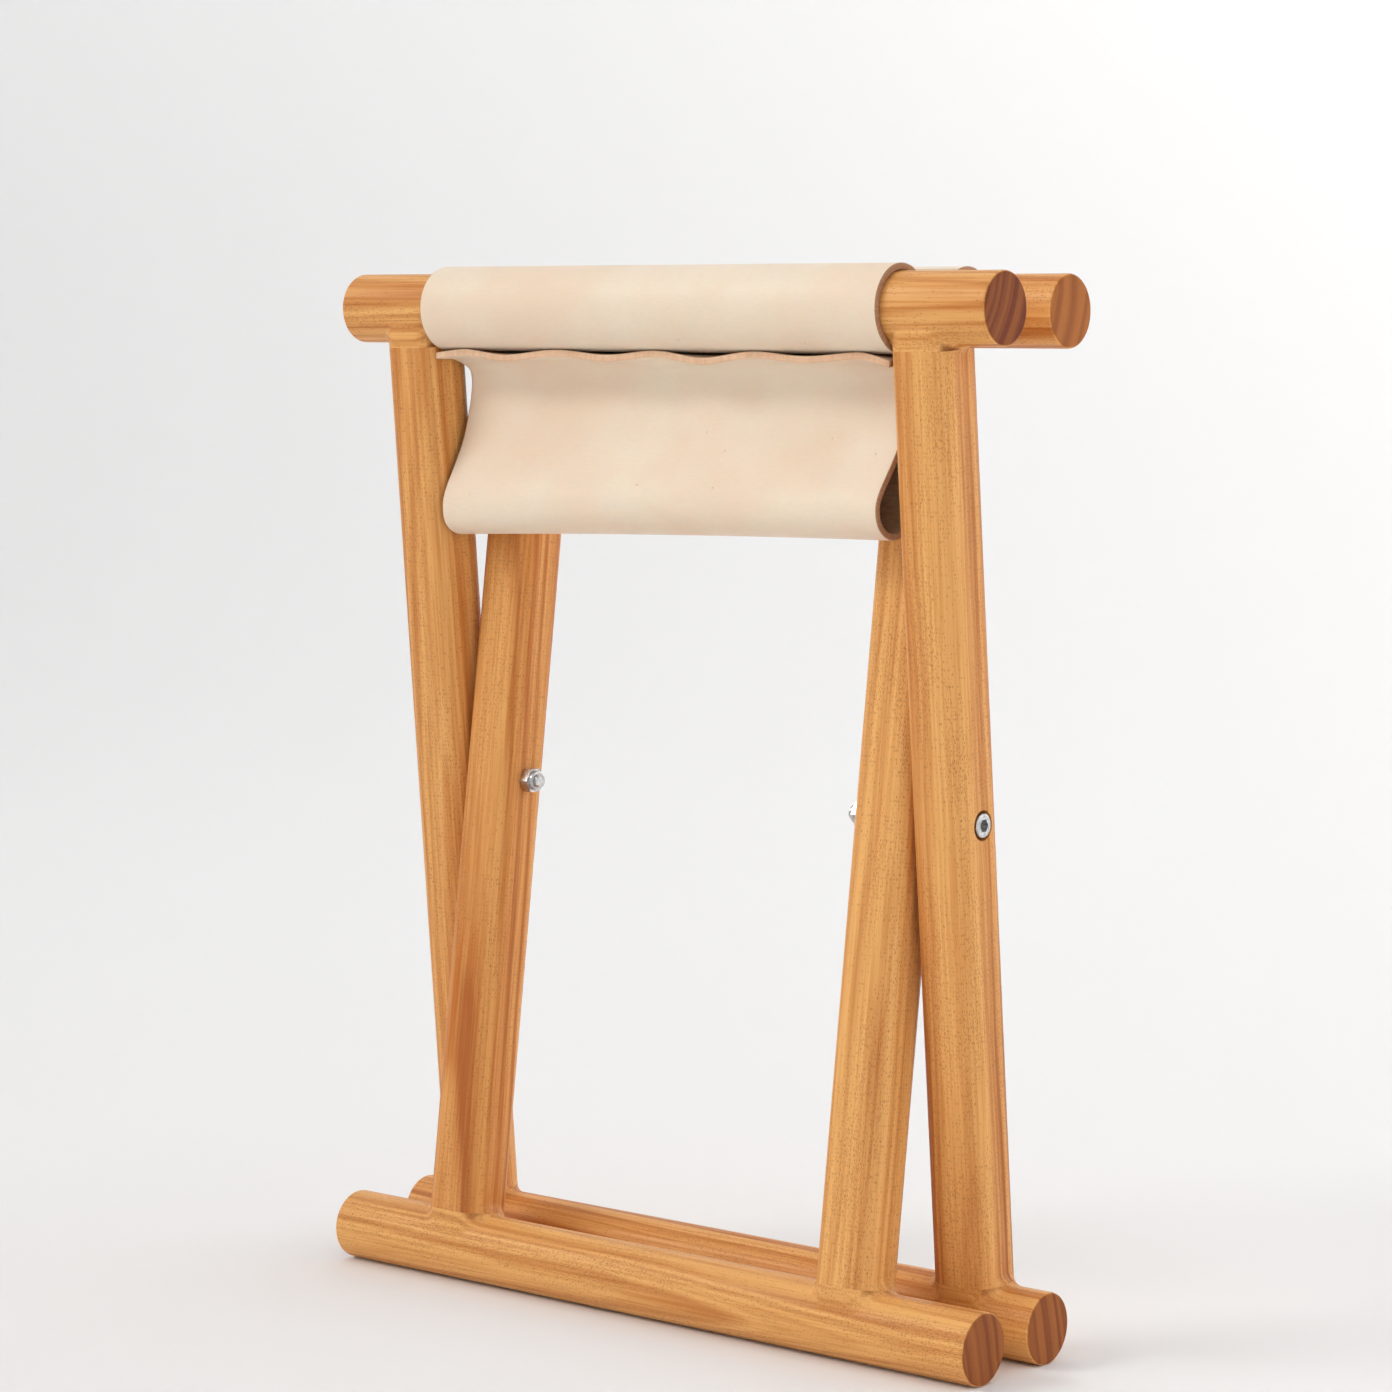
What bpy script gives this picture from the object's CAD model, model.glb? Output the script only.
# %% [markdown]
# # A folding rack with a leather belt seat
# The real object is two crossed frames of oiled hardwood, bolted together at mid-height,
# with one belt of thick vegetable-tanned leather round both top rails.
# The wooden and steel pieces arrive as a fixed frame, at their real size and in metres.
# This lesson gives them their finishes and builds the leather, which a solid model
# can only block out.

# %% Load the fixed frame
import math

import bpy
import bmesh
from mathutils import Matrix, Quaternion, Vector


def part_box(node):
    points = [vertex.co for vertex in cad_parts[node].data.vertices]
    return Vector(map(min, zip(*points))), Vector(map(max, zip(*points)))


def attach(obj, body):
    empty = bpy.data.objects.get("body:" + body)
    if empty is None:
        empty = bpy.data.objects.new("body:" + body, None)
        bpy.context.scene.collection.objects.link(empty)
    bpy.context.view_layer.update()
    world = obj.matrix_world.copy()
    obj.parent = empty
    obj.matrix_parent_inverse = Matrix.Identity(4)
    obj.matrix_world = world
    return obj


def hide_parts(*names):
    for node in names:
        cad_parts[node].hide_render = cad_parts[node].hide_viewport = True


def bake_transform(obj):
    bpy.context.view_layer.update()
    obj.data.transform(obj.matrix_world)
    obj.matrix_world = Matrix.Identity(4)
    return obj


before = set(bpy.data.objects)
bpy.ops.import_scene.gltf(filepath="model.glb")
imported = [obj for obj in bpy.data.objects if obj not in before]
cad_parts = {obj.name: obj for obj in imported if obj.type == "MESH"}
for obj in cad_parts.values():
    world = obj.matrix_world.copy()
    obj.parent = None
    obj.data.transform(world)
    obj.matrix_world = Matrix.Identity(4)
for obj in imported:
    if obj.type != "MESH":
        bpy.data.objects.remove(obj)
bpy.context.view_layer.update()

# %% [markdown]
# ## Measures taken from the frame
# Everything later is placed from a few measures. The rails are 30 mm round. Where the two
# top rails lie, and where the seat leather starts and ends, is read from the frame.

# %% Read the rails and the seat
front_low, front_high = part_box("outer_top_rail")
wrap_low, wrap_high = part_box("seat_wrap_front")
rail_radius = 0.015
top_z = front_high.z - rail_radius
rail_y = -(front_low.y + rail_radius)
half_seat = (wrap_high.x - wrap_low.x) / 2
print("top rail height", round(top_z, 4), "rail spacing", round(2 * rail_y, 4))
print("half seat", round(half_seat, 4))

# %% [markdown]
# ## Camera and light
# The camera stands a metre and a half away with a short telephoto lens, a little to the
# right of the front and just under the height of the top rails, so the four rails are
# seen almost level. Large soft lights give the pale, nearly shadowless look of a
# product table.

# %% Place the camera
def look(position, yaw, pitch, roll, lens):
    """A camera at position, turned right by yaw, down by pitch and about its own axis by roll."""
    data = bpy.data.cameras.new("camera")
    data.lens = lens
    data.sensor_width = 36.0
    data.clip_start = 0.05
    data.clip_end = 60.0
    camera = bpy.data.objects.new("camera", data)
    bpy.context.scene.collection.objects.link(camera)
    ahead = Vector((
        math.sin(yaw) * math.cos(pitch),
        math.cos(yaw) * math.cos(pitch),
        -math.sin(pitch),
    ))
    camera.location = position
    camera.rotation_mode = "QUATERNION"
    camera.rotation_quaternion = ahead.to_track_quat("-Z", "Y") @ Quaternion((0, 0, 1), roll)
    bpy.context.scene.camera = camera
    return camera


camera = look(
    position=(1.0224, -1.2735, 0.3978),
    yaw=math.radians(-38.715),
    pitch=math.radians(4.669),
    roll=math.radians(0.852),
    lens=99.58,
)
print("camera at", [round(v, 3) for v in camera.location])

# %% [markdown]
# ## The stage and its light
# A product table is a sheet of pale card that curls up at the back, so that no horizon
# shows. Here it is a wide shallow bowl: flat under the rack and rising smoothly far away
# on every side, so the rack can be looked at from anywhere. Spinning one profile about
# the vertical axis makes it with the fewest points.

# %% Make the stage
def spun_bowl(name, flat_radius, rim_radius, height, rings=40, slices=96):
    """A round sheet that is flat out to flat_radius and climbs to height at rim_radius."""
    mesh = bpy.data.meshes.new(name)
    piece = bpy.data.objects.new(name, mesh)
    bpy.context.scene.collection.objects.link(piece)
    shape = bmesh.new()
    middle = shape.verts.new((0, 0, 0))
    last = None
    for ring in range(rings + 1):
        share = ring / rings
        radius = flat_radius + (rim_radius - flat_radius) * math.sin(share * math.pi / 2)
        rise = height * (1 - math.cos(share * math.pi / 2))
        turn = [2 * math.pi * number / slices for number in range(slices)]
        row = [shape.verts.new((radius * math.cos(a), radius * math.sin(a), rise)) for a in turn]
        for number in range(slices):
            after = (number + 1) % slices
            if last is None:
                shape.faces.new((middle, row[number], row[after]))
            else:
                shape.faces.new((last[number], row[number], row[after], last[after]))
        last = row
    for face in shape.faces:
        face.smooth = True
    shape.to_mesh(mesh)
    shape.free()
    return piece


stage = spun_bowl("pale_stage", flat_radius=2.2, rim_radius=6.0, height=4.0)
print("stage:", len(stage.data.polygons), "faces")


# %% [markdown]
# The card is matt. Its walls are further from the lamps than its floor, so they are
# given a faint glow that grows with height: the sheet then reads as one even white.

# %% Small helpers for node trees
def new_material(name):
    """A material with an empty tree, and its Principled shader."""
    material = bpy.data.materials.new(name)
    material.use_nodes = True
    tree = material.node_tree
    tree.nodes.clear()
    output = tree.nodes.new("ShaderNodeOutputMaterial")
    shader = tree.nodes.new("ShaderNodeBsdfPrincipled")
    tree.links.new(shader.outputs["BSDF"], output.inputs["Surface"])
    return material, tree, shader


def math_node(tree, operation, first, second=None, third=None, clamp=False):
    """A Math node on sockets or plain numbers, giving its output socket."""
    node = tree.nodes.new("ShaderNodeMath")
    node.operation = operation
    node.use_clamp = clamp
    for socket, value in zip(node.inputs, (first, second, third)):
        if hasattr(value, "is_output"):
            tree.links.new(value, socket)
        elif value is not None:
            socket.default_value = value
    return node.outputs["Value"]


def vector_node(tree, operation, first, second):
    node = tree.nodes.new("ShaderNodeVectorMath")
    node.operation = operation
    for socket, value in zip(node.inputs, (first, second)):
        if hasattr(value, "is_output"):
            tree.links.new(value, socket)
        else:
            socket.default_value = value
    return node.outputs["Vector"]


def noise_node(tree, vector, scale=1.0, detail=2.0, roughness=0.5, distortion=0.0):
    node = tree.nodes.new("ShaderNodeTexNoise")
    tree.links.new(vector, node.inputs["Vector"])
    node.inputs["Scale"].default_value = scale
    node.inputs["Detail"].default_value = detail
    node.inputs["Roughness"].default_value = roughness
    node.inputs["Distortion"].default_value = distortion
    return node.outputs["Fac"]


def remap(tree, value, low, high, to_low=0.0, to_high=1.0):
    """Smooth stretch of low..high to to_low..to_high."""
    node = tree.nodes.new("ShaderNodeMapRange")
    node.interpolation_type = "SMOOTHSTEP"
    tree.links.new(value, node.inputs["Value"])
    node.inputs["From Min"].default_value = low
    node.inputs["From Max"].default_value = high
    node.inputs["To Min"].default_value = to_low
    node.inputs["To Max"].default_value = to_high
    return node.outputs["Result"]


def mix_colour(tree, share, first, second, way="MIX"):
    """First and second colour mixed by share; each may be a socket or a colour."""
    node = tree.nodes.new("ShaderNodeMix")
    node.data_type = "RGBA"
    node.blend_type = way
    node.clamp_result = True
    for name, value in (("Factor_Float", share), ("A_Color", first), ("B_Color", second)):
        socket = next(s for s in node.inputs if s.identifier == name)
        if hasattr(value, "is_output"):
            tree.links.new(value, socket)
        elif name == "Factor_Float":
            socket.default_value = value
        else:
            socket.default_value = (*value, 1.0)
    return next(s for s in node.outputs if s.identifier == "Result_Color")


def new_group(name, inputs, outputs):
    """An empty shader node group; inputs are (name, socket kind, start value)."""
    group = bpy.data.node_groups.new(name, "ShaderNodeTree")
    for title, kind, value in inputs:
        socket = group.interface.new_socket(title, in_out="INPUT", socket_type=kind)
        if value is not None:
            socket.default_value = value
    for title, kind in outputs:
        group.interface.new_socket(title, in_out="OUTPUT", socket_type=kind)
    start = group.nodes.new("NodeGroupInput")
    end = group.nodes.new("NodeGroupOutput")
    return group, start.outputs, end.inputs


def place_group(tree, group, **values):
    """The group placed in a tree; underscores in a value's name stand for spaces."""
    node = tree.nodes.new("ShaderNodeGroup")
    node.node_tree = group
    for name, value in values.items():
        socket = node.inputs[name.replace("_", " ")]
        if hasattr(value, "is_output"):
            tree.links.new(value, socket)
        else:
            socket.default_value = value
    return node.outputs


def bumped(tree, shader, height, strength, depth):
    """Height drives the shader's normal, as relief of that depth in metres."""
    node = tree.nodes.new("ShaderNodeBump")
    node.inputs["Strength"].default_value = strength
    node.inputs["Distance"].default_value = depth
    tree.links.new(height, node.inputs["Height"])
    tree.links.new(node.outputs["Normal"], shader.inputs["Normal"])


print("helpers ready")

# %% Give the stage its card
card, tree, shader = new_material("pale_card")
place = tree.nodes.new("ShaderNodeNewGeometry").outputs["Position"]
height = tree.nodes.new("ShaderNodeSeparateXYZ")
tree.links.new(place, height.inputs["Vector"])
climb = remap(tree, height.outputs["Z"], 0.0, 1.6, 0.0, 0.1)
shader.inputs["Base Color"].default_value = (0.92, 0.915, 0.915, 1)
shader.inputs["Roughness"].default_value = 0.9
shader.inputs["Specular IOR Level"].default_value = 0.1
glow = mix_colour(tree, climb, (0, 0, 0), (1, 1, 1))
tree.links.new(glow, shader.inputs["Emission Color"])
shader.inputs["Emission Strength"].default_value = 1.0
stage.data.materials.append(card)
print("card:", len(tree.nodes), "nodes")

# %% [markdown]
# The key light stands rather low to the left of the camera and is as wide as a window, so
# the shadows are soft, the underside of the leather is lit and the right-hand rail ends
# fall into shade. A weak wide light from overhead and a white sky fill the rest. A sun
# with a wide angle gives that softness everywhere at once, so the card stays even.

# %% Hang the lights
def soft_sun(name, towards, strength, width_deg, colour=(1, 1, 1)):
    """A sun that shines along -towards, spread over width_deg of the sky."""
    data = bpy.data.lights.new(name, "SUN")
    data.energy = strength
    data.angle = math.radians(width_deg)
    data.color = colour
    lamp = bpy.data.objects.new(name, data)
    lamp.rotation_mode = "QUATERNION"
    lamp.rotation_quaternion = Vector(towards).to_track_quat("Z", "Y")
    bpy.context.scene.collection.objects.link(lamp)
    return lamp


key = soft_sun("window_key", (-0.62, -0.72, 0.48), 3.05, 36, (1.0, 0.985, 0.96))
top = soft_sun("overhead_fill", (-0.1, 0.1, 1.0), 0.66, 90)
sky = bpy.data.worlds.new("white_sky")
sky.use_nodes = True
sky.node_tree.nodes["Background"].inputs["Color"].default_value = (0.98, 0.99, 1.0, 1)
sky.node_tree.nodes["Background"].inputs["Strength"].default_value = 0.41
bpy.context.scene.world = sky
bpy.context.scene.view_settings.view_transform = "Standard"
print("lights:", key.name, top.name)

# %% [markdown]
# ## Oiled hardwood
# Every wooden piece is cut from a log: growth rings run round a pith that lies somewhere
# outside the piece, fibres run along it, and short dark pores open on its surface. A
# picture of wood would smear over the round rails, so the pattern is solid: it is worked
# out through the whole volume, and each face shows the cut it really would, rings on the
# end grain and long bands on the sides. One node group holds the log, and each piece
# is given its own place in it.

# %% Build the log
def build_log():
    group, given, made = new_group(
        "Log",
        (
            ("Vector", "NodeSocketVector", None),
            ("Ring Width", "NodeSocketFloat", 0.004),
            ("Run Out", "NodeSocketFloat", 0.03),
            ("Waviness", "NodeSocketFloat", 0.003),
            ("Pore Share", "NodeSocketFloat", 0.3),
        ),
        (
            ("Bands", "NodeSocketFloat"),
            ("Streaks", "NodeSocketFloat"),
            ("Pores", "NodeSocketFloat"),
            ("Tone", "NodeSocketFloat"),
        ),
    )
    where = given["Vector"]
    bend = noise_node(group, vector_node(group, "MULTIPLY", where, (9, 26, 26)), detail=1.5)
    bend = math_node(group, "MULTIPLY", math_node(group, "SUBTRACT", bend, 0.5), given["Waviness"])
    axes = group.nodes.new("ShaderNodeSeparateXYZ")
    group.links.new(where, axes.inputs["Vector"])
    drift = math_node(group, "MULTIPLY", axes.outputs["X"], given["Run Out"])
    across = math_node(group, "ADD", math_node(group, "ADD", axes.outputs["Y"], drift), bend)
    deep = math_node(group, "ADD", axes.outputs["Z"], bend)
    across_squared = math_node(group, "MULTIPLY", across, across)
    radius_squared = math_node(group, "MULTIPLY_ADD", deep, deep, across_squared)
    radius = math_node(group, "SQRT", radius_squared)
    count = math_node(group, "DIVIDE", radius, given["Ring Width"])
    rings = group.nodes.new("ShaderNodeTexNoise")
    rings.noise_dimensions = "1D"
    rings.inputs["Scale"].default_value = 1.0
    rings.inputs["Detail"].default_value = 2.0
    group.links.new(count, rings.inputs["W"])
    group.links.new(remap(group, rings.outputs["Fac"], 0.34, 0.68), made["Bands"])
    drawn_out = vector_node(group, "MULTIPLY", where, (16, 820, 820))
    fibres = noise_node(group, drawn_out, detail=3, roughness=0.6)
    group.links.new(remap(group, fibres, 0.3, 0.72), made["Streaks"])
    cells = group.nodes.new("ShaderNodeTexVoronoi")
    group.links.new(vector_node(group, "MULTIPLY", where, (120, 640, 640)), cells.inputs["Vector"])
    spot = remap(group, cells.outputs["Distance"], 0.2, 0.46, 1.0, 0.0)
    chance = group.nodes.new("ShaderNodeSeparateColor")
    group.links.new(cells.outputs["Color"], chance.inputs["Color"])
    patch = remap(group, noise_node(group, vector_node(group, "MULTIPLY", where, (14, 70, 70))), 0.38, 0.66)
    likely = math_node(group, "MULTIPLY", given["Pore Share"], math_node(group, "ADD", patch, 0.15))
    kept = math_node(group, "LESS_THAN", chance.outputs["Red"], likely)
    group.links.new(math_node(group, "MULTIPLY", spot, kept), made["Pores"])
    tone = noise_node(group, vector_node(group, "MULTIPLY", where, (5, 42, 42)), detail=2)
    group.links.new(remap(group, tone, 0.3, 0.7), made["Tone"])
    return group


log = build_log()
print("log group:", len(log.nodes), "nodes")

# %% [markdown]
# The oil has soaked deepest into the sawn rail ends, which are far darker than the
# sides. A mask from the surface's own direction finds them: on a rail end it points
# along the rail. The edges of the ends are sanded round, and the mask fades with them.

# %% Mix the oiled finish
honey = (0.88, 0.47, 0.155)
amber = (0.58, 0.18, 0.03)
russet = (0.31, 0.062, 0.014)
pore_brown = (0.27, 0.07, 0.018)
end_dark = (0.17, 0.034, 0.008)
end_light = (0.46, 0.15, 0.03)


def oiled_wood(name, turn=(0, 0, 0), shift=(0, 0.05, 0.02), ring=0.0045, run_out=0.03,
               waviness=0.004, pores=0.5, warmth=0.5, redness=0.3, end_depth=None):
    """Oiled wood cut at shift from the pith; turn brings the piece's length onto the log's."""
    material, tree, shader = new_material(name)
    local = tree.nodes.new("ShaderNodeTexCoord")
    mapping = tree.nodes.new("ShaderNodeMapping")
    mapping.inputs["Rotation"].default_value = turn
    mapping.inputs["Location"].default_value = shift
    tree.links.new(local.outputs["Object"], mapping.inputs["Vector"])
    grain = place_group(
        tree, log, Vector=mapping.outputs["Vector"], Ring_Width=ring, Run_Out=run_out,
        Waviness=waviness, Pore_Share=pores,
    )
    share = math_node(tree, "MULTIPLY_ADD", grain["Bands"], 0.55, math_node(
        tree, "MULTIPLY", grain["Streaks"], 0.45))
    share = math_node(tree, "ADD", share, warmth - 0.5, clamp=True)
    colour = mix_colour(tree, share, honey, amber)
    red = math_node(tree, "MULTIPLY", math_node(tree, "POWER", grain["Bands"], 2.5), grain["Tone"])
    red = math_node(tree, "MULTIPLY", red, redness, clamp=True)
    colour = mix_colour(tree, red, colour, russet)
    colour = mix_colour(tree, math_node(tree, "MULTIPLY", grain["Pores"], 0.66), colour, pore_brown)
    gloss = remap(tree, grain["Streaks"], 0.0, 1.0, 0.38, 0.5)
    if end_depth is not None:
        facing = tree.nodes.new("ShaderNodeSeparateXYZ")
        tree.links.new(local.outputs["Normal"], facing.inputs["Vector"])
        end = remap(tree, math_node(tree, "ABSOLUTE", facing.outputs["X"]), 0.55, 0.95)
        dark = math_node(tree, "MULTIPLY_ADD", grain["Bands"], 0.45, end_depth, clamp=True)
        sawn = mix_colour(tree, dark, end_light, end_dark)
        colour = mix_colour(tree, end, colour, sawn)
        gloss = math_node(tree, "MULTIPLY_ADD", end, 0.2, gloss)
    tree.links.new(colour, shader.inputs["Base Color"])
    tree.links.new(gloss, shader.inputs["Roughness"])
    shader.inputs["Specular IOR Level"].default_value = 0.2
    shader.inputs["Coat Weight"].default_value = 0.03
    shader.inputs["Coat Roughness"].default_value = 0.3
    relief = math_node(tree, "SUBTRACT", math_node(
        tree, "MULTIPLY", grain["Streaks"], 0.35), grain["Pores"])
    bumped(tree, shader, relief, 0.35, 0.00022)
    return material


def dress(node, material):
    """Puts one material on every slot of a CAD node."""
    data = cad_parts[node].data
    data.materials.clear()
    data.materials.append(material)


# %% [markdown]
# The maker picks boards by eye, so no two pieces match. The legs lean 6.4 degrees each
# way, and their pattern is turned to run up them. Each piece has its own distance and
# direction from the pith: a near pith gives strong arched bands, a far one straight
# narrow ones.

# %% Dress the wooden pieces
lean = math.atan2(2 * rail_y, top_z - rail_radius)
quarter_turn = math.radians(90)
outer_turn = (-lean, quarter_turn, 0)
inner_turn = (lean, quarter_turn, 0)
along_rail = (0, 0, 0)
cuts = {
    "outer_top_rail": dict(turn=along_rail, shift=(0.3, 0.062, -0.45), warmth=0.42, redness=0.2,
                           end_depth=0.6),
    "inner_top_rail": dict(turn=along_rail, shift=(1.1, -0.012, -0.445), ring=0.005, waviness=0.012,
                           warmth=0.55, redness=0.4, run_out=0.05, end_depth=0.05),
    "inner_foot_rail": dict(turn=along_rail, shift=(2.2, 0.055, 0.012), pores=0.85, warmth=0.3,
                            redness=0.25, end_depth=0.35),
    "outer_foot_rail": dict(turn=along_rail, shift=(3.4, 0.02, 0.028), warmth=0.5, redness=0.35,
                            end_depth=0.3),
    "outer_leg_right": dict(turn=outer_turn, shift=(0.1, 0.02, 0.165), ring=0.0075, warmth=0.5, redness=0.8,
                            run_out=0.006, waviness=0.003, pores=0.7),
    "outer_leg_left": dict(turn=outer_turn, shift=(1.4, 0.05, -0.10), ring=0.005, warmth=0.42, redness=0.35,
                           run_out=0.02),
    "inner_leg_right": dict(turn=inner_turn, shift=(2.6, 0.045, 0.14), ring=0.0055, pores=0.7, warmth=0.3,
                            redness=0.3, run_out=0.015),
    "inner_leg_left": dict(turn=inner_turn, shift=(3.9, 0.004, -0.12), ring=0.005, warmth=0.66, redness=0.6,
                           run_out=0.035, waviness=0.008),
}
for node, cut in cuts.items():
    dress(node, oiled_wood("oiled_" + node, **cut))
print("dressed", len(cuts), "wooden pieces, legs leaning", round(math.degrees(lean), 2), "degrees")

# %% [markdown]
# The dowels inside the joints are bare beech: paler, with short flecks and no oil. They
# are hidden in the finished rack, but show if a piece is taken off.

# %% Dress the dowels
beech, tree, shader = new_material("bare_beech")
local = tree.nodes.new("ShaderNodeTexCoord")
grain = place_group(tree, log, Vector=local.outputs["Object"], Ring_Width=0.002, Pore_Share=0.2)
colour = mix_colour(tree, grain["Bands"], (0.72, 0.52, 0.31), (0.55, 0.36, 0.19))
colour = mix_colour(tree, math_node(tree, "MULTIPLY", grain["Pores"], 0.5), colour, (0.3, 0.17, 0.08))
tree.links.new(colour, shader.inputs["Base Color"])
shader.inputs["Roughness"].default_value = 0.7
bumped(tree, shader, grain["Streaks"], 0.3, 0.0001)
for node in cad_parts:
    if node.endswith("dowels"):
        dress(node, beech)
print("beech dowels dressed")

# %% [markdown]
# ## Steel
# The pivot bolts, lock nuts and washers are stainless steel, turned and then tumbled:
# fine rings from the lathe, a few long scratches, and a duller look where the tumbling
# bit. The scratches and the dull patches are one group, used again on the tacks.

# %% Build the steel wear
def build_wear():
    group, given, made = new_group(
        "Tumbled",
        (("Vector", "NodeSocketVector", None), ("Scratch Size", "NodeSocketFloat", 900.0)),
        (("Scratches", "NodeSocketFloat"), ("Dullness", "NodeSocketFloat")),
    )
    stretched = vector_node(group, "MULTIPLY", given["Vector"], (1.0, 0.12, 0.9))
    lines = group.nodes.new("ShaderNodeTexNoise")
    group.links.new(stretched, lines.inputs["Vector"])
    group.links.new(given["Scratch Size"], lines.inputs["Scale"])
    lines.inputs["Detail"].default_value = 4.0
    group.links.new(remap(group, lines.outputs["Fac"], 0.42, 0.62), made["Scratches"])
    dull = noise_node(group, given["Vector"], scale=420, detail=2)
    group.links.new(remap(group, dull, 0.35, 0.7), made["Dullness"])
    return group


tumbled = build_wear()


def steel(name, light, dark, polish):
    """Tumbled steel between two greys; polish is the roughness of its brightest parts."""
    material, tree, shader = new_material(name)
    local = tree.nodes.new("ShaderNodeTexCoord")
    wear = place_group(tree, tumbled, Vector=local.outputs["Object"])
    shader.inputs["Metallic"].default_value = 1.0
    tree.links.new(mix_colour(tree, wear["Dullness"], light, dark), shader.inputs["Base Color"])
    rough = math_node(tree, "MULTIPLY_ADD", wear["Dullness"], 0.16, polish)
    rough = math_node(tree, "MULTIPLY_ADD", wear["Scratches"], 0.08, rough)
    tree.links.new(rough, shader.inputs["Roughness"])
    bumped(tree, shader, wear["Scratches"], 0.25, 0.00004)
    return material


stainless = steel("tumbled_stainless", (0.66, 0.66, 0.67), (0.46, 0.45, 0.45), 0.2)
tack_steel = steel("tack_steel", (0.40, 0.37, 0.34), (0.24, 0.21, 0.19), 0.32)
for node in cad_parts:
    if node.startswith(("pivot_bolt", "lock_nut", "leg_washer")):
        dress(node, stainless)
dress("seat_tacks", tack_steel)
print("steel dressed")

# %% [markdown]
# ## The leather belt
# One belt of leather 2.8 mm thick goes round both top rails. Its two ends overlap under
# the front rail, where tacks hold them, and when the rack is folded the slack between
# the rails drops into a long teardrop. Leather this thick bends but hardly stretches, so
# a cloth simulation would only make it look limp: it is built from its edge line, which
# is swept across the width and given its thickness.
# The belt is made in six pieces, cut where it leaves a rail and at the bottom of each
# hanging fold, because each stretch follows the opening of the rack in its own way.

# %% Draw the edge lines
hide = 0.0028
stand_off = 0.0004
belt_radius = rail_radius + stand_off + hide / 2
lap_radius = belt_radius + hide + 0.0002
leave_angle = 68
lap_angle = 250


def around_rail(side, radius, start, end):
    """Arc round the front (side -1) or rear (1) rail; degrees from +Y over the top."""
    steps = max(6, round(abs(end - start) / 4))
    turns = [math.radians(start + (end - start) * step / steps) for step in range(steps + 1)]
    return [Vector((side * rail_y + radius * math.cos(a), radius * math.sin(a))) for a in turns]


def hanging(*points):
    """Guide points in millimetres: Y, and Z from the top rail centres."""
    return [Vector(point) / 1000 for point in points]


def evenly(line, spacing):
    """The same line with its points about spacing apart."""
    lengths = [0.0]
    for first, second in zip(line, line[1:]):
        lengths.append(lengths[-1] + (second - first).length)
    count = max(2, round(lengths[-1] / spacing))
    points = []
    index = 0
    for step in range(count + 1):
        target = lengths[-1] * step / count
        while index < len(line) - 2 and lengths[index + 1] < target:
            index += 1
        share = (target - lengths[index]) / max(lengths[index + 1] - lengths[index], 1e-9)
        points.append(line[index].lerp(line[index + 1], min(share, 1.0)))
    return points


def smooth_line(guides, spacing=0.0012, passes=14):
    """A bending line near its guides: they are joined, divided, and rounded off a little."""
    padded = [2 * guides[0] - guides[1], *guides, 2 * guides[-1] - guides[-2]]
    line = []
    for before, start, end, after in zip(padded, padded[1:], padded[2:], padded[3:]):
        for step in range(8):
            t = step / 8
            pull = (2 * before - 5 * start + 4 * end - after) * t * t
            turn = (3 * start - before - 3 * end + after) * t ** 3
            line.append((2 * start + (end - before) * t + pull + turn) / 2)
    line = evenly([*line, guides[-1]], spacing)
    for _ in range(passes):
        inner = [(a + 2 * b + c) / 4 for a, b, c in zip(line, line[1:], line[2:])]
        line = [line[0], *inner, line[-1]]
    return line


def split_near(line, point):
    """The line in two parts that share the place nearest to point."""
    index = min(range(len(line)), key=lambda number: (line[number] - point).length)
    return line[:index + 1], line[index:]


upper_bottom = Vector((-0.008, -0.0634))
lower_bottom = Vector((-0.013, -0.0976))
upper_run = smooth_line([
    *around_rail(1, belt_radius, 180 - leave_angle, 180),
    *hanging((4.4, -18), (0.6, -36), (-3.2, -50), (-4.7, -57.6), (-5.4, -61.5)),
    upper_bottom,
    *hanging((-10.6, -61.5), (-11.1, -57.6), (-9.0, -50), (-6.0, -37), (-4.9, -23), (-5.4, -12)),
    *around_rail(-1, belt_radius, 0, leave_angle),
])
lower_run = smooth_line([
    *around_rail(-1, lap_radius, lap_angle, 272),
    *hanging((-17.4, -20.6), (-12.9, -23.6), (-10.4, -30), (-11.6, -41), (-15.4, -58)),
    *hanging((-20.6, -70), (-25.6, -80), (-27.2, -87), (-24.2, -93.4), (-18.4, -96.9)),
    lower_bottom,
    *hanging((-8.8, -96), (-5.2, -91), (-3.0, -82), (-1.4, -66), (1.2, -48)),
    *hanging((6.2, -33), (12.2, -22.2), (17.6, -18)),
    Vector((rail_y, -belt_radius)),
])
upper_rear_line, upper_front_line = split_near(upper_run, upper_bottom)
lower_front_line, lower_rear_line = split_near(lower_run, lower_bottom)
front_wrap_line = evenly(around_rail(-1, belt_radius, leave_angle, 280), 0.0012)
rear_wrap_line = evenly(around_rail(1, belt_radius, -90, 180 - leave_angle), 0.0012)
print("upper run", len(upper_run), "points, lower run", len(lower_run), "points")

# %% [markdown]
# The belt fills the space between the outer legs where it lies on the rails. It hangs a
# little narrower, and round the rear rail it is cut away beside the inner legs, which
# are glued to that rail inside the belt's width.

# %% Set the widths
full_half = half_seat - 0.0003
hanging_half = 0.1178
notch_half = 0.088
notch_top = -0.007
notch_foot = -0.051


def ease(value, low, high):
    """0 below low, 1 above high, smooth between."""
    share = min(max((value - low) / (high - low), 0.0), 1.0)
    return share * share * (3 - 2 * share)


def even_width(y, z):
    return full_half


def front_fall_width(y, z):
    """Full under the rail, a little narrower once it hangs."""
    return full_half + (hanging_half - full_half) * ease(-z, 0.0195, 0.027)


def rear_fall_width(y, z):
    """Cut away beside the inner legs above the foot of the notch."""
    return hanging_half + (notch_half - hanging_half) * ease(z, notch_foot - 0.0015, notch_foot + 0.0015)


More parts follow.
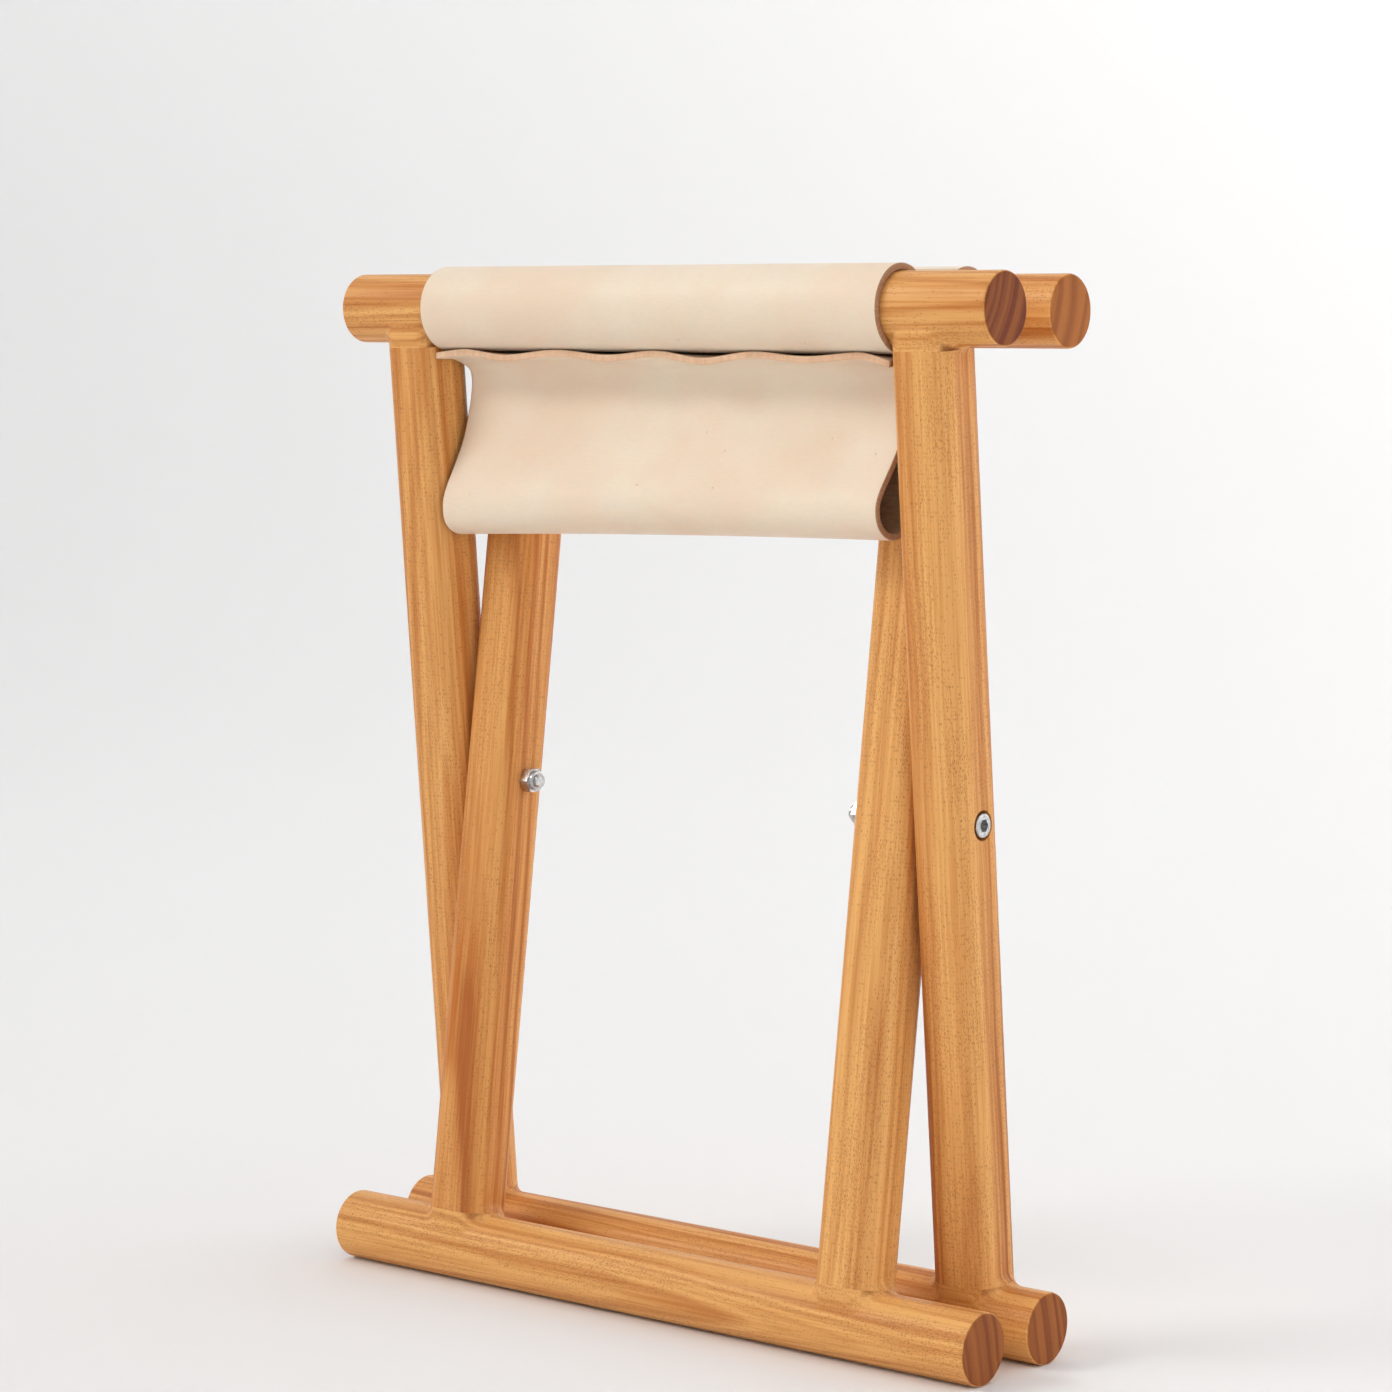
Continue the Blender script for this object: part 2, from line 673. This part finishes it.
def rear_wrap_width(y, z):
    """Cut away under the rear rail, full over the top of it."""
    if y < rail_y - 0.004:
        return full_half
    return notch_half + (full_half - notch_half) * ease(z, notch_top - 0.0015, notch_top + 0.0015)


print("belt half width", round(full_half, 4), "hanging", hanging_half, "at the notch", notch_half)

# %% [markdown]
# Three things make thick leather look real here. The overlapping end is pinched to the
# rail at each tack and stands off between them, so its cut edge is scalloped and a dark
# gap opens above it. The hanging loop is a little askew: it swings to the left as it
# falls and its right end sits higher. And nothing is quite flat: the panel has slow waves
# of half a millimetre that catch the light.

# %% Shape the surface
tack_count = 5
tack_spacing = 0.214 / (tack_count - 1)
free_reach = 0.010


def scallop(x):
    """How far the lap stands off the rail at x, at its cut edge."""
    last = tack_spacing * (tack_count - 1) / 2
    if abs(x) > last:
        reach = (abs(x) - last) / (full_half - last)
        return (0.0036 if x > 0 else 0.0018) * reach ** 1.3
    share = abs((x / tack_spacing) - round(x / tack_spacing)) * 2
    uneven = 1 + 0.25 * math.sin(x * 47 + 0.6)
    return 0.0024 * uneven * ease(share, 0.0, 1.0)


def lap_lift(x, along):
    """The lap's distance from its place on the rail, most at its cut edge between tacks."""
    free = max(0.0, 1 - along / free_reach) ** 1.4
    over_heads = 0.00035 * (1 - ease(along, 0.008, 0.02))
    return scallop(x) * free + over_heads


def no_lift(x, along):
    return 0.0


def sway(x, y, z):
    """The hanging loop's lean to the left, its raised right end and the waves of its face."""
    low = ease(-z, 0.045, 0.094)
    side = x / hanging_half
    hang = ease(-z, 0.028, 0.05) * (1 - ease(-z, 0.086, 0.097))
    wave = math.sin(x * 31 + 1.0) * math.cos(x * 13 - z * 55) + 0.5 * math.sin(x * 74 - z * 40)
    curl = 0.0012 * abs(side) ** 3
    rise = 0.0038 + 0.0029 * side - 0.001 * side ** 2
    return Vector((-0.0034 * ease(-z, 0.03, 0.085), (0.00045 * wave + curl) * hang, rise * low))


print("scallop at the middle of a gap", round(scallop(tack_spacing / 2) * 1000, 2), "mm")

# %% [markdown]
# The sweep: a grid of points on the middle of the hide, a grain side and a flesh side
# half a thickness out, and a rim with softened corners round the cut edges. Each side
# is its own material, as on real leather, and so is the raw cut across the lap.
# Distances along the belt go into a UV map in metres, so the pattern stays on the
# leather when the belt bends.

# %% Build a piece of the belt
rim_steps = ((0.00033, 0.00128), (0.00045, 0.0009), (0.00045, -0.0009), (0.00033, -0.00128))
rim_inset = 0.00045


def mid_grid(line, half_width, lift, columns):
    """Rows of (point, distance along) on the middle of the hide, lifted and swayed."""
    rows = []
    along = 0.0
    for number, point in enumerate(line):
        before = line[max(number - 1, 0)]
        after = line[min(number + 1, len(line) - 1)]
        if number:
            along += (point - before).length
        run = (after - before).normalized()
        out = Vector((0, run.y, -run.x))
        half = half_width(point.x, point.y) - rim_inset
        row = []
        for column in range(columns + 1):
            x = half * (2 * column / columns - 1)
            spot = Vector((x, point.x, top_z + point.y)) + out * lift(x, along)
            row.append((spot + sway(x, point.x, point.y), along))
        rows.append(row)
    return rows


def grid_normals(rows):
    """Unit normals on the grain side, from neighbouring points."""
    normals = []
    for number, row in enumerate(rows):
        above = rows[max(number - 1, 0)]
        below = rows[min(number + 1, len(rows) - 1)]
        line = []
        for column in range(len(row)):
            left = row[max(column - 1, 0)][0]
            right = row[min(column + 1, len(row) - 1)][0]
            line.append((below[column][0] - above[column][0]).cross(right - left).normalized())
        normals.append(line)
    return normals


def rim_path(rows, columns, cut_start, cut_end):
    """Grid places along the cut edges, in one or more runs, each with its outward step."""
    last = len(rows) - 1
    left = [(number, 0) for number in range(last, -1, -1)]
    right = [(number, columns) for number in range(last + 1)]
    start = [(0, column) for column in range(1, columns)] if cut_start else None
    end = [(last, column) for column in range(columns - 1, 0, -1)] if cut_end else None
    if cut_start and cut_end:
        return [(left + start + right + end, True)]
    if cut_start:
        return [(left + start + right, False)]
    if cut_end:
        return [(right + end + left, False)]
    return [(left, False), (right, False)]


def belt_piece(name, line, half_width, lift=no_lift, cut_start=False, cut_end=False, columns=110):
    """A closed hide along line, its grain on the right of travel, with cut or joined ends."""
    rows = mid_grid(line, half_width, lift, columns)
    normals = grid_normals(rows)
    last = len(rows) - 1
    shape = bmesh.new()
    chart = shape.loops.layers.uv.new("Belt")
    places = {}

    def vertex(number, column, outward, rise):
        spot, along = rows[number][column]
        step = Vector((0, 0, 0))
        if outward:
            if column in (0, columns):
                step.x += 1 if column else -1
            if (number == 0 and cut_start) or (number == last and cut_end):
                neighbour = rows[1 if number == 0 else last - 1][column][0]
                step += (spot - neighbour).normalized()
            step.normalize()
        made = shape.verts.new(spot + step * outward + normals[number][column] * rise)
        shift = -outward if number == 0 and cut_start else (outward if number == last and cut_end else 0)
        places[made] = (spot.x + step.x * outward * 2, along + shift * 2)
        return made

    grain = [[vertex(n, c, 0, hide / 2) for c in range(columns + 1)] for n in range(last + 1)]
    flesh = [[vertex(n, c, 0, -hide / 2) for c in range(columns + 1)] for n in range(last + 1)]

    def face(corners, slot, smooth=True):
        made = shape.faces.new(corners)
        made.material_index = slot
        made.smooth = smooth
        for loop in made.loops:
            loop[chart].uv = places[loop.vert]
        return made

    for n in range(last):
        for c in range(columns):
            face((grain[n][c], grain[n][c + 1], grain[n + 1][c + 1], grain[n + 1][c]), 0)
            face((flesh[n][c], flesh[n + 1][c], flesh[n + 1][c + 1], flesh[n][c + 1]), 1)
    joined = []
    lids = []
    for run, closed in rim_path(rows, columns, cut_start, cut_end):
        strips = []
        for n, c in run:
            middle = [vertex(n, c, outward, rise) for outward, rise in rim_steps]
            strips.append([grain[n][c], *middle, flesh[n][c]])
        stops = list(zip(strips, run))
        pairs = list(zip(stops, stops[1:])) + ([(stops[-1], stops[0])] if closed else [])
        for (first, start), (second, stop) in pairs:
            across_start = cut_start and start[0] == stop[0] == 0
            for a, b, c, d in zip(first, first[1:], second[1:], second):
                face((a, d, c, b), 3 if across_start else 2)
        if not closed:
            joined.extend((strips[0], strips[-1]))
    for number, cut in ((0, cut_start), (last, cut_end)):
        if not cut:
            for c in range(columns):
                corners = (grain[number][c], flesh[number][c], flesh[number][c + 1], grain[number][c + 1])
                lids.append(face(corners, 2, False))
    for strip in joined:
        lids.append(face(strip, 2, False))
    for lid in lids:
        for edge in lid.edges:
            edge.smooth = False
    bmesh.ops.recalc_face_normals(shape, faces=shape.faces)
    mesh = bpy.data.meshes.new(name)
    shape.to_mesh(mesh)
    shape.free()
    piece = bpy.data.objects.new(name, mesh)
    bpy.context.scene.collection.objects.link(piece)
    return piece


belt = {
    "belt_front_wrap": belt_piece("belt_front_wrap", front_wrap_line, even_width, cut_end=True),
    "belt_front_fall": belt_piece(
        "belt_front_fall", lower_front_line, front_fall_width, lap_lift, cut_start=True),
    "belt_rear_fall": belt_piece("belt_rear_fall", lower_rear_line, rear_fall_width),
    "belt_rear_wrap": belt_piece("belt_rear_wrap", rear_wrap_line, rear_wrap_width),
    "belt_rear_fold": belt_piece("belt_rear_fold", upper_rear_line, even_width),
    "belt_front_fold": belt_piece("belt_front_fold", upper_front_line, even_width),
}
for name, piece in belt.items():
    print(name, len(piece.data.polygons), "faces")

# %% [markdown]
# ## The leather's finish
# Vegetable-tanned leather is pale and slightly pink when new. Its grain side is smooth
# with a very fine pebble, faint growth marks and a few brown specks. The flesh side is
# browner and fibrous. The long edges are burnished brown, and the cut across the lap is
# left raw. One group makes the marks, and each surface takes a different amount of them.

# %% Build the hide's marks
def build_hide_marks():
    group, given, made = new_group(
        "Hide Marks",
        (("Vector", "NodeSocketVector", None), ("Fibre Scale", "NodeSocketFloat", 1.0)),
        (
            ("Cloud", "NodeSocketFloat"),
            ("Pebble", "NodeSocketFloat"),
            ("Specks", "NodeSocketFloat"),
            ("Fibres", "NodeSocketFloat"),
        ),
    )
    where = given["Vector"]
    cloud = noise_node(group, where, scale=14, detail=3, roughness=0.55)
    group.links.new(remap(group, cloud, 0.32, 0.68), made["Cloud"])
    cells = group.nodes.new("ShaderNodeTexVoronoi")
    cells.inputs["Scale"].default_value = 1500
    group.links.new(where, cells.inputs["Vector"])
    fine = noise_node(group, where, scale=700, detail=3, roughness=0.6)
    group.links.new(math_node(group, "ADD", math_node(
        group, "MULTIPLY", cells.outputs["Distance"], 0.6), fine), made["Pebble"])
    dots = group.nodes.new("ShaderNodeTexVoronoi")
    dots.inputs["Scale"].default_value = 170
    group.links.new(where, dots.inputs["Vector"])
    spot = remap(group, dots.outputs["Distance"], 0.05, 0.16, 1.0, 0.0)
    chance = group.nodes.new("ShaderNodeSeparateColor")
    group.links.new(dots.outputs["Color"], chance.inputs["Color"])
    few = math_node(group, "LESS_THAN", chance.outputs["Red"], 0.07)
    group.links.new(math_node(group, "MULTIPLY", spot, few), made["Specks"])
    stretched = vector_node(group, "MULTIPLY", where, (260, 900, 260))
    fibres = group.nodes.new("ShaderNodeTexNoise")
    group.links.new(stretched, fibres.inputs["Vector"])
    group.links.new(given["Fibre Scale"], fibres.inputs["Scale"])
    fibres.inputs["Detail"].default_value = 4.0
    group.links.new(remap(group, fibres.outputs["Fac"], 0.35, 0.66), made["Fibres"])
    return group


hide_marks = build_hide_marks()


def leather_side(name, pale, warm, speck, speck_share, fibre_share, rough, relief, depth, scale=1.0):
    """One side of the hide: two base colours, specks, fibres, roughness and relief."""
    material, tree, shader = new_material(name)
    chart = tree.nodes.new("ShaderNodeUVMap")
    chart.uv_map = "Belt"
    marks = place_group(tree, hide_marks, Vector=chart.outputs["UV"], Fibre_Scale=scale)
    colour = mix_colour(tree, marks["Cloud"], pale, warm)
    dark = tuple(0.62 * value for value in warm)
    colour = mix_colour(tree, math_node(tree, "MULTIPLY", marks["Fibres"], fibre_share), colour, dark)
    colour = mix_colour(tree, math_node(tree, "MULTIPLY", marks["Specks"], speck_share), colour, speck)
    tree.links.new(colour, shader.inputs["Base Color"])
    uneven = remap(tree, marks["Cloud"], 0.0, 1.0, rough - 0.05, rough + 0.06)
    tree.links.new(uneven, shader.inputs["Roughness"])
    shader.inputs["Subsurface Weight"].default_value = 0.3
    shader.inputs["Subsurface Radius"].default_value = (1.0, 0.42, 0.22)
    shader.inputs["Subsurface Scale"].default_value = 0.004
    shader.inputs["Specular IOR Level"].default_value = 0.3
    shader.inputs["Sheen Weight"].default_value = 0.08
    shader.inputs["Sheen Roughness"].default_value = 0.5
    height = math_node(tree, "MULTIPLY_ADD", marks["Fibres"], fibre_share * 2, marks["Pebble"])
    bumped(tree, shader, height, relief, depth)
    return material


grain_side = leather_side(
    "leather_grain_side", pale=(0.90, 0.76, 0.60), warm=(0.87, 0.68, 0.51), speck=(0.55, 0.33, 0.2),
    speck_share=0.4, fibre_share=0.05, rough=0.5, relief=0.3, depth=0.00012)
flesh_side = leather_side(
    "leather_flesh_side", pale=(0.60, 0.42, 0.27), warm=(0.50, 0.32, 0.19), speck=(0.4, 0.24, 0.14),
    speck_share=0.2, fibre_share=0.5, rough=0.85, relief=0.7, depth=0.0003)
cut_edge = leather_side(
    "leather_cut_edge", pale=(0.56, 0.33, 0.18), warm=(0.44, 0.23, 0.115), speck=(0.3, 0.16, 0.08),
    speck_share=0.1, fibre_share=0.5, rough=0.6, relief=0.5, depth=0.00025, scale=2.0)
raw_cut = leather_side(
    "leather_raw_cut", pale=(0.86, 0.58, 0.38), warm=(0.78, 0.49, 0.31), speck=(0.4, 0.24, 0.14),
    speck_share=0.1, fibre_share=0.25, rough=0.65, relief=0.4, depth=0.0002, scale=2.0)
for piece in belt.values():
    for material in (grain_side, flesh_side, cut_edge, raw_cut):
        piece.data.materials.append(material)
print("leather materials:", grain_side.name, flesh_side.name, cut_edge.name, raw_cut.name)

# %% [markdown]
# ## Riding and bending
# The two wraps stay on their rails. The four hanging halves bend: each follows its own
# frame near the rail and the middle of the seat at its bottom fold, where two light
# sling bodies carry the belt up as the rack opens. The ranges are fitted to the folded
# shape. Opened, the seat should be flat and is not: it keeps a hump and a crease from
# the fold, and its side edges are pulled thick and uneven.

# %% Fasten the belt to the bodies
def rail_point(y, z):
    """A point on the middle plane: millimetres in Y, and in Z from the top rail centres."""
    return (0, y / 1000, top_z + z / 1000)


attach(belt["belt_front_wrap"], "outer_frame")
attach(belt["belt_rear_wrap"], "inner_frame")
upper_join = rail_point(upper_bottom.x * 1000, upper_bottom.y * 1000)
lower_join = rail_point(lower_bottom.x * 1000, lower_bottom.y * 1000)
bends = {
    "belt_front_fold": ("outer_frame", "sling_front", rail_point(-27.9, -57.1), upper_join),
    "belt_rear_fold": ("inner_frame", "sling_rear", rail_point(12.3, -63.1), upper_join),
    "belt_front_fall": ("outer_frame", "sling_front", rail_point(-48.5, -50.6), lower_join),
    "belt_rear_fall": ("inner_frame", "sling_rear", rail_point(28, -85.2), lower_join),
}
for name, (held_by, carried_by, start, end) in bends.items():
    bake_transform(belt[name])
stands_for = {
    "belt_front_wrap": ("seat_wrap_front",),
    "belt_front_fall": ("seat_lap", "seat_lower_front"),
    "belt_rear_fall": ("seat_lower_rear",),
    "belt_rear_wrap": ("seat_wrap_rear",),
    "belt_rear_fold": ("seat_upper_rear",),
    "belt_front_fold": ("seat_upper_front",),
}
for name, nodes in stands_for.items():
    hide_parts(*nodes)
print("belt rides on", sorted(stands_for))
